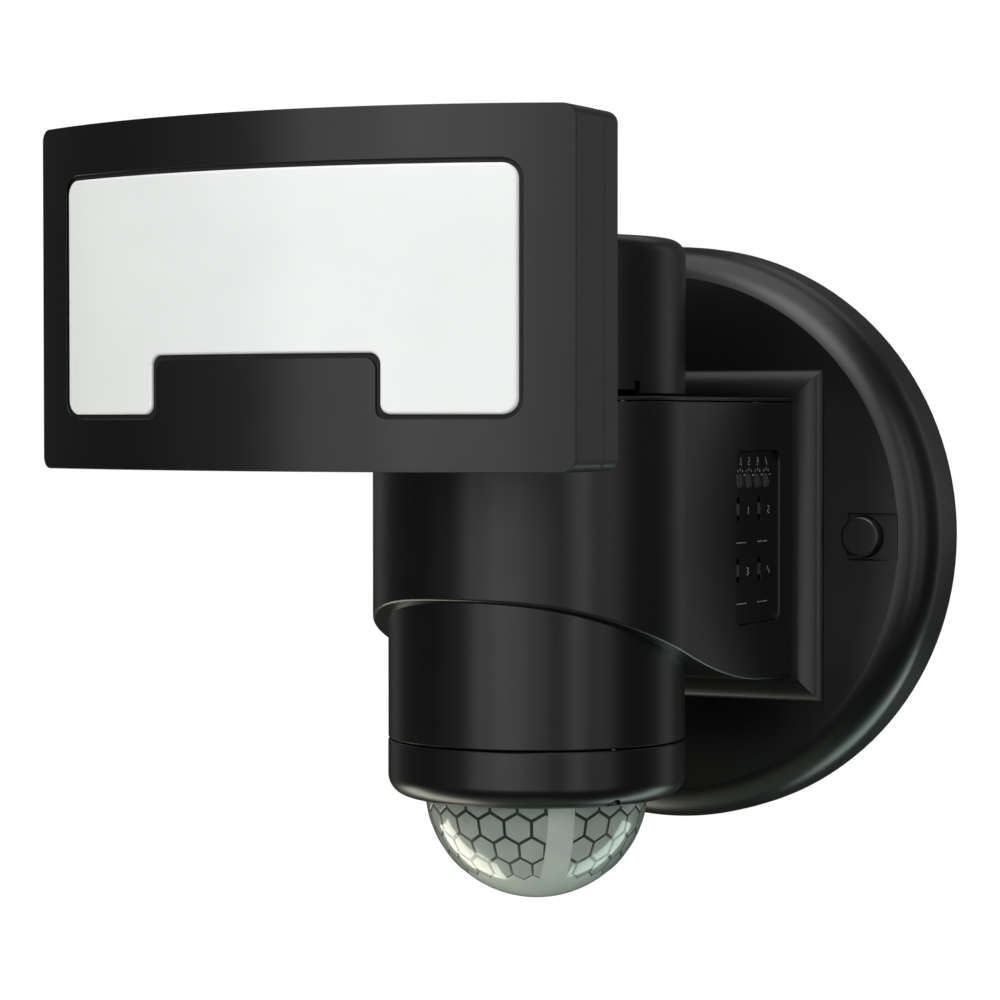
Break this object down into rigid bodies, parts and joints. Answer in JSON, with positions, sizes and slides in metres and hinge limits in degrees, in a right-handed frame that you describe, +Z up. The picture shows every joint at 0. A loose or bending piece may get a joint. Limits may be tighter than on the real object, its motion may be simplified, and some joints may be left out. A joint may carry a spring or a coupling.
{
  "type": "motion-tracking security floodlight",
  "caption": "Black wall floodlight with a curved lamp on a motor-driven turret, a sensor dome under the body and adjusters on its side.",
  "frame": {"origin": "centre of the back plate's rear face, on the wall", "axes": "+Y into the wall, +Z up, +X to the right of a viewer who faces the lamp; the lamp looks along -Y"},
  "size_m": [0.176, 0.2528, 0.2096],
  "materials": {
    "acetal": "natural, waxy",
    "aluminium": "black anodised",
    "black_plastic": "satin, fine moulded grain",
    "blue_plastic": "gloss",
    "brass": "plain",
    "circuit_board": "solder mask",
    "grey_plastic": "satin",
    "led_phosphor": "phosphor",
    "lens_film": "smoky translucent with moulded lens cells",
    "opal_diffuser": "milky, translucent",
    "panel_plastic": "matt",
    "rubber": "matt",
    "terminal_plastic": "satin",
    "white_board": "white solder mask on aluminium",
    "yellow_tape": "wound tape",
    "zinc_steel": "zinc plated"
  },
  "bodies": {
    "base": {"wall_plate": "black_plastic", "wall_gasket": "rubber", "back_plate": "zinc_steel", "back_plate_screws": "zinc_steel", "screw_cap_left": "black_plastic", "screw_cap_right": "black_plastic", "cable_grommet": "rubber", "terminal_block": "terminal_plastic", "terminal_screws": "brass", "earth_screw": "brass", "body_screws": "zinc_steel", "body_shell": "black_plastic", "body_cover": "black_plastic", "cover_screws": "zinc_steel", "turret_bush": "acetal", "pan_motor": "zinc_steel", "motor_bracket": "zinc_steel", "motor_screws": "zinc_steel", "main_board": "circuit_board", "board_spacers": "brass", "board_parts": "yellow_tape", "control_board": "circuit_board", "control_parts": "blue_plastic", "control_panel": "panel_plastic", "drum_shell": "black_plastic", "drum_bezel": "black_plastic", "bezel_screws": "zinc_steel", "dome_lens": "lens_film", "dome_seal": "rubber", "sensor_board": "circuit_board", "heat_sensors": "zinc_steel", "daylight_sensor": "led_phosphor"},
    "turret": {"turret_shell": "black_plastic", "turret_base": "black_plastic", "turret_gear": "acetal", "spindle_clip": "zinc_steel", "turret_screws": "zinc_steel", "tilt_bracket": "black_plastic", "tilt_bolt": "zinc_steel", "friction_washers": "acetal"},
    "lamp": {"lamp_frame": "black_plastic", "lamp_diffuser": "opal_diffuser", "lamp_seal": "rubber", "lamp_case": "black_plastic", "led_boards": "white_board", "led_chips": "led_phosphor", "heat_sink": "aluminium", "driver_housing": "black_plastic", "led_driver": "yellow_tape", "tilt_knuckle": "black_plastic"},
    "clamp_knob": {"clamp_knob": "black_plastic"},
    "pinion": {"motor_pinion": "acetal"},
    "knob_1": {"knob_1": "grey_plastic"},
    "knob_2": {"knob_2": "grey_plastic"},
    "knob_3": {"knob_3": "grey_plastic"},
    "knob_4": {"knob_4": "grey_plastic"},
    "slider_1": {"slider_1": "grey_plastic"},
    "slider_2": {"slider_2": "grey_plastic"},
    "slider_3": {"slider_3": "grey_plastic"},
    "slider_4": {"slider_4": "grey_plastic"}
  },
  "joints": [
    {"name": "turret_pan", "type": "hinge", "parent": "base", "child": "turret", "pos_m": [0, -0.105, 0.06], "axis": [0, 0, 1], "range_deg": [-90, 90]},
    {"name": "lamp_tilt", "type": "hinge", "parent": "turret", "child": "lamp", "pos_m": [0, -0.161, 0.062], "axis": [1, 0, 0], "range_deg": [-20, 45]},
    {"name": "clamp_knob_turn", "type": "hinge", "parent": "turret", "child": "clamp_knob", "pos_m": [0.0213, -0.161, 0.062], "axis": [1, 0, 0], "range_deg": [-180, 180]},
    {"name": "pinion_spin", "type": "hinge", "parent": "base", "child": "pinion", "pos_m": [0, -0.07285, 0.0234], "axis": [0, 0, 1], "range_deg": [-280, 280]},
    {"name": "knob_1_turn", "type": "hinge", "parent": "base", "child": "knob_1", "pos_m": [0.041, -0.0653, 0.017], "axis": [1, 0, 0], "range_deg": [-135, 135]},
    {"name": "knob_2_turn", "type": "hinge", "parent": "base", "child": "knob_2", "pos_m": [0.041, -0.059, 0.017], "axis": [1, 0, 0], "range_deg": [-135, 135]},
    {"name": "knob_3_turn", "type": "hinge", "parent": "base", "child": "knob_3", "pos_m": [0.041, -0.0527, 0.017], "axis": [1, 0, 0], "range_deg": [-135, 135]},
    {"name": "knob_4_turn", "type": "hinge", "parent": "base", "child": "knob_4", "pos_m": [0.041, -0.0464, 0.017], "axis": [1, 0, 0], "range_deg": [-135, 135]},
    {"name": "slider_1_slide", "type": "slide", "parent": "base", "child": "slider_1", "axis": [0, 0, 1], "range_m": [-0.0015, 0.0015]},
    {"name": "slider_2_slide", "type": "slide", "parent": "base", "child": "slider_2", "axis": [0, 0, 1], "range_m": [-0.0015, 0.0015]},
    {"name": "slider_3_slide", "type": "slide", "parent": "base", "child": "slider_3", "axis": [0, 0, 1], "range_m": [-0.0015, 0.0015]},
    {"name": "slider_4_slide", "type": "slide", "parent": "base", "child": "slider_4", "axis": [0, 0, 1], "range_m": [-0.0015, 0.0015]}
  ],
  "couplings": [
    {"joint": "pinion_spin", "follows": "turret_pan", "ratio": -3}
  ]
}
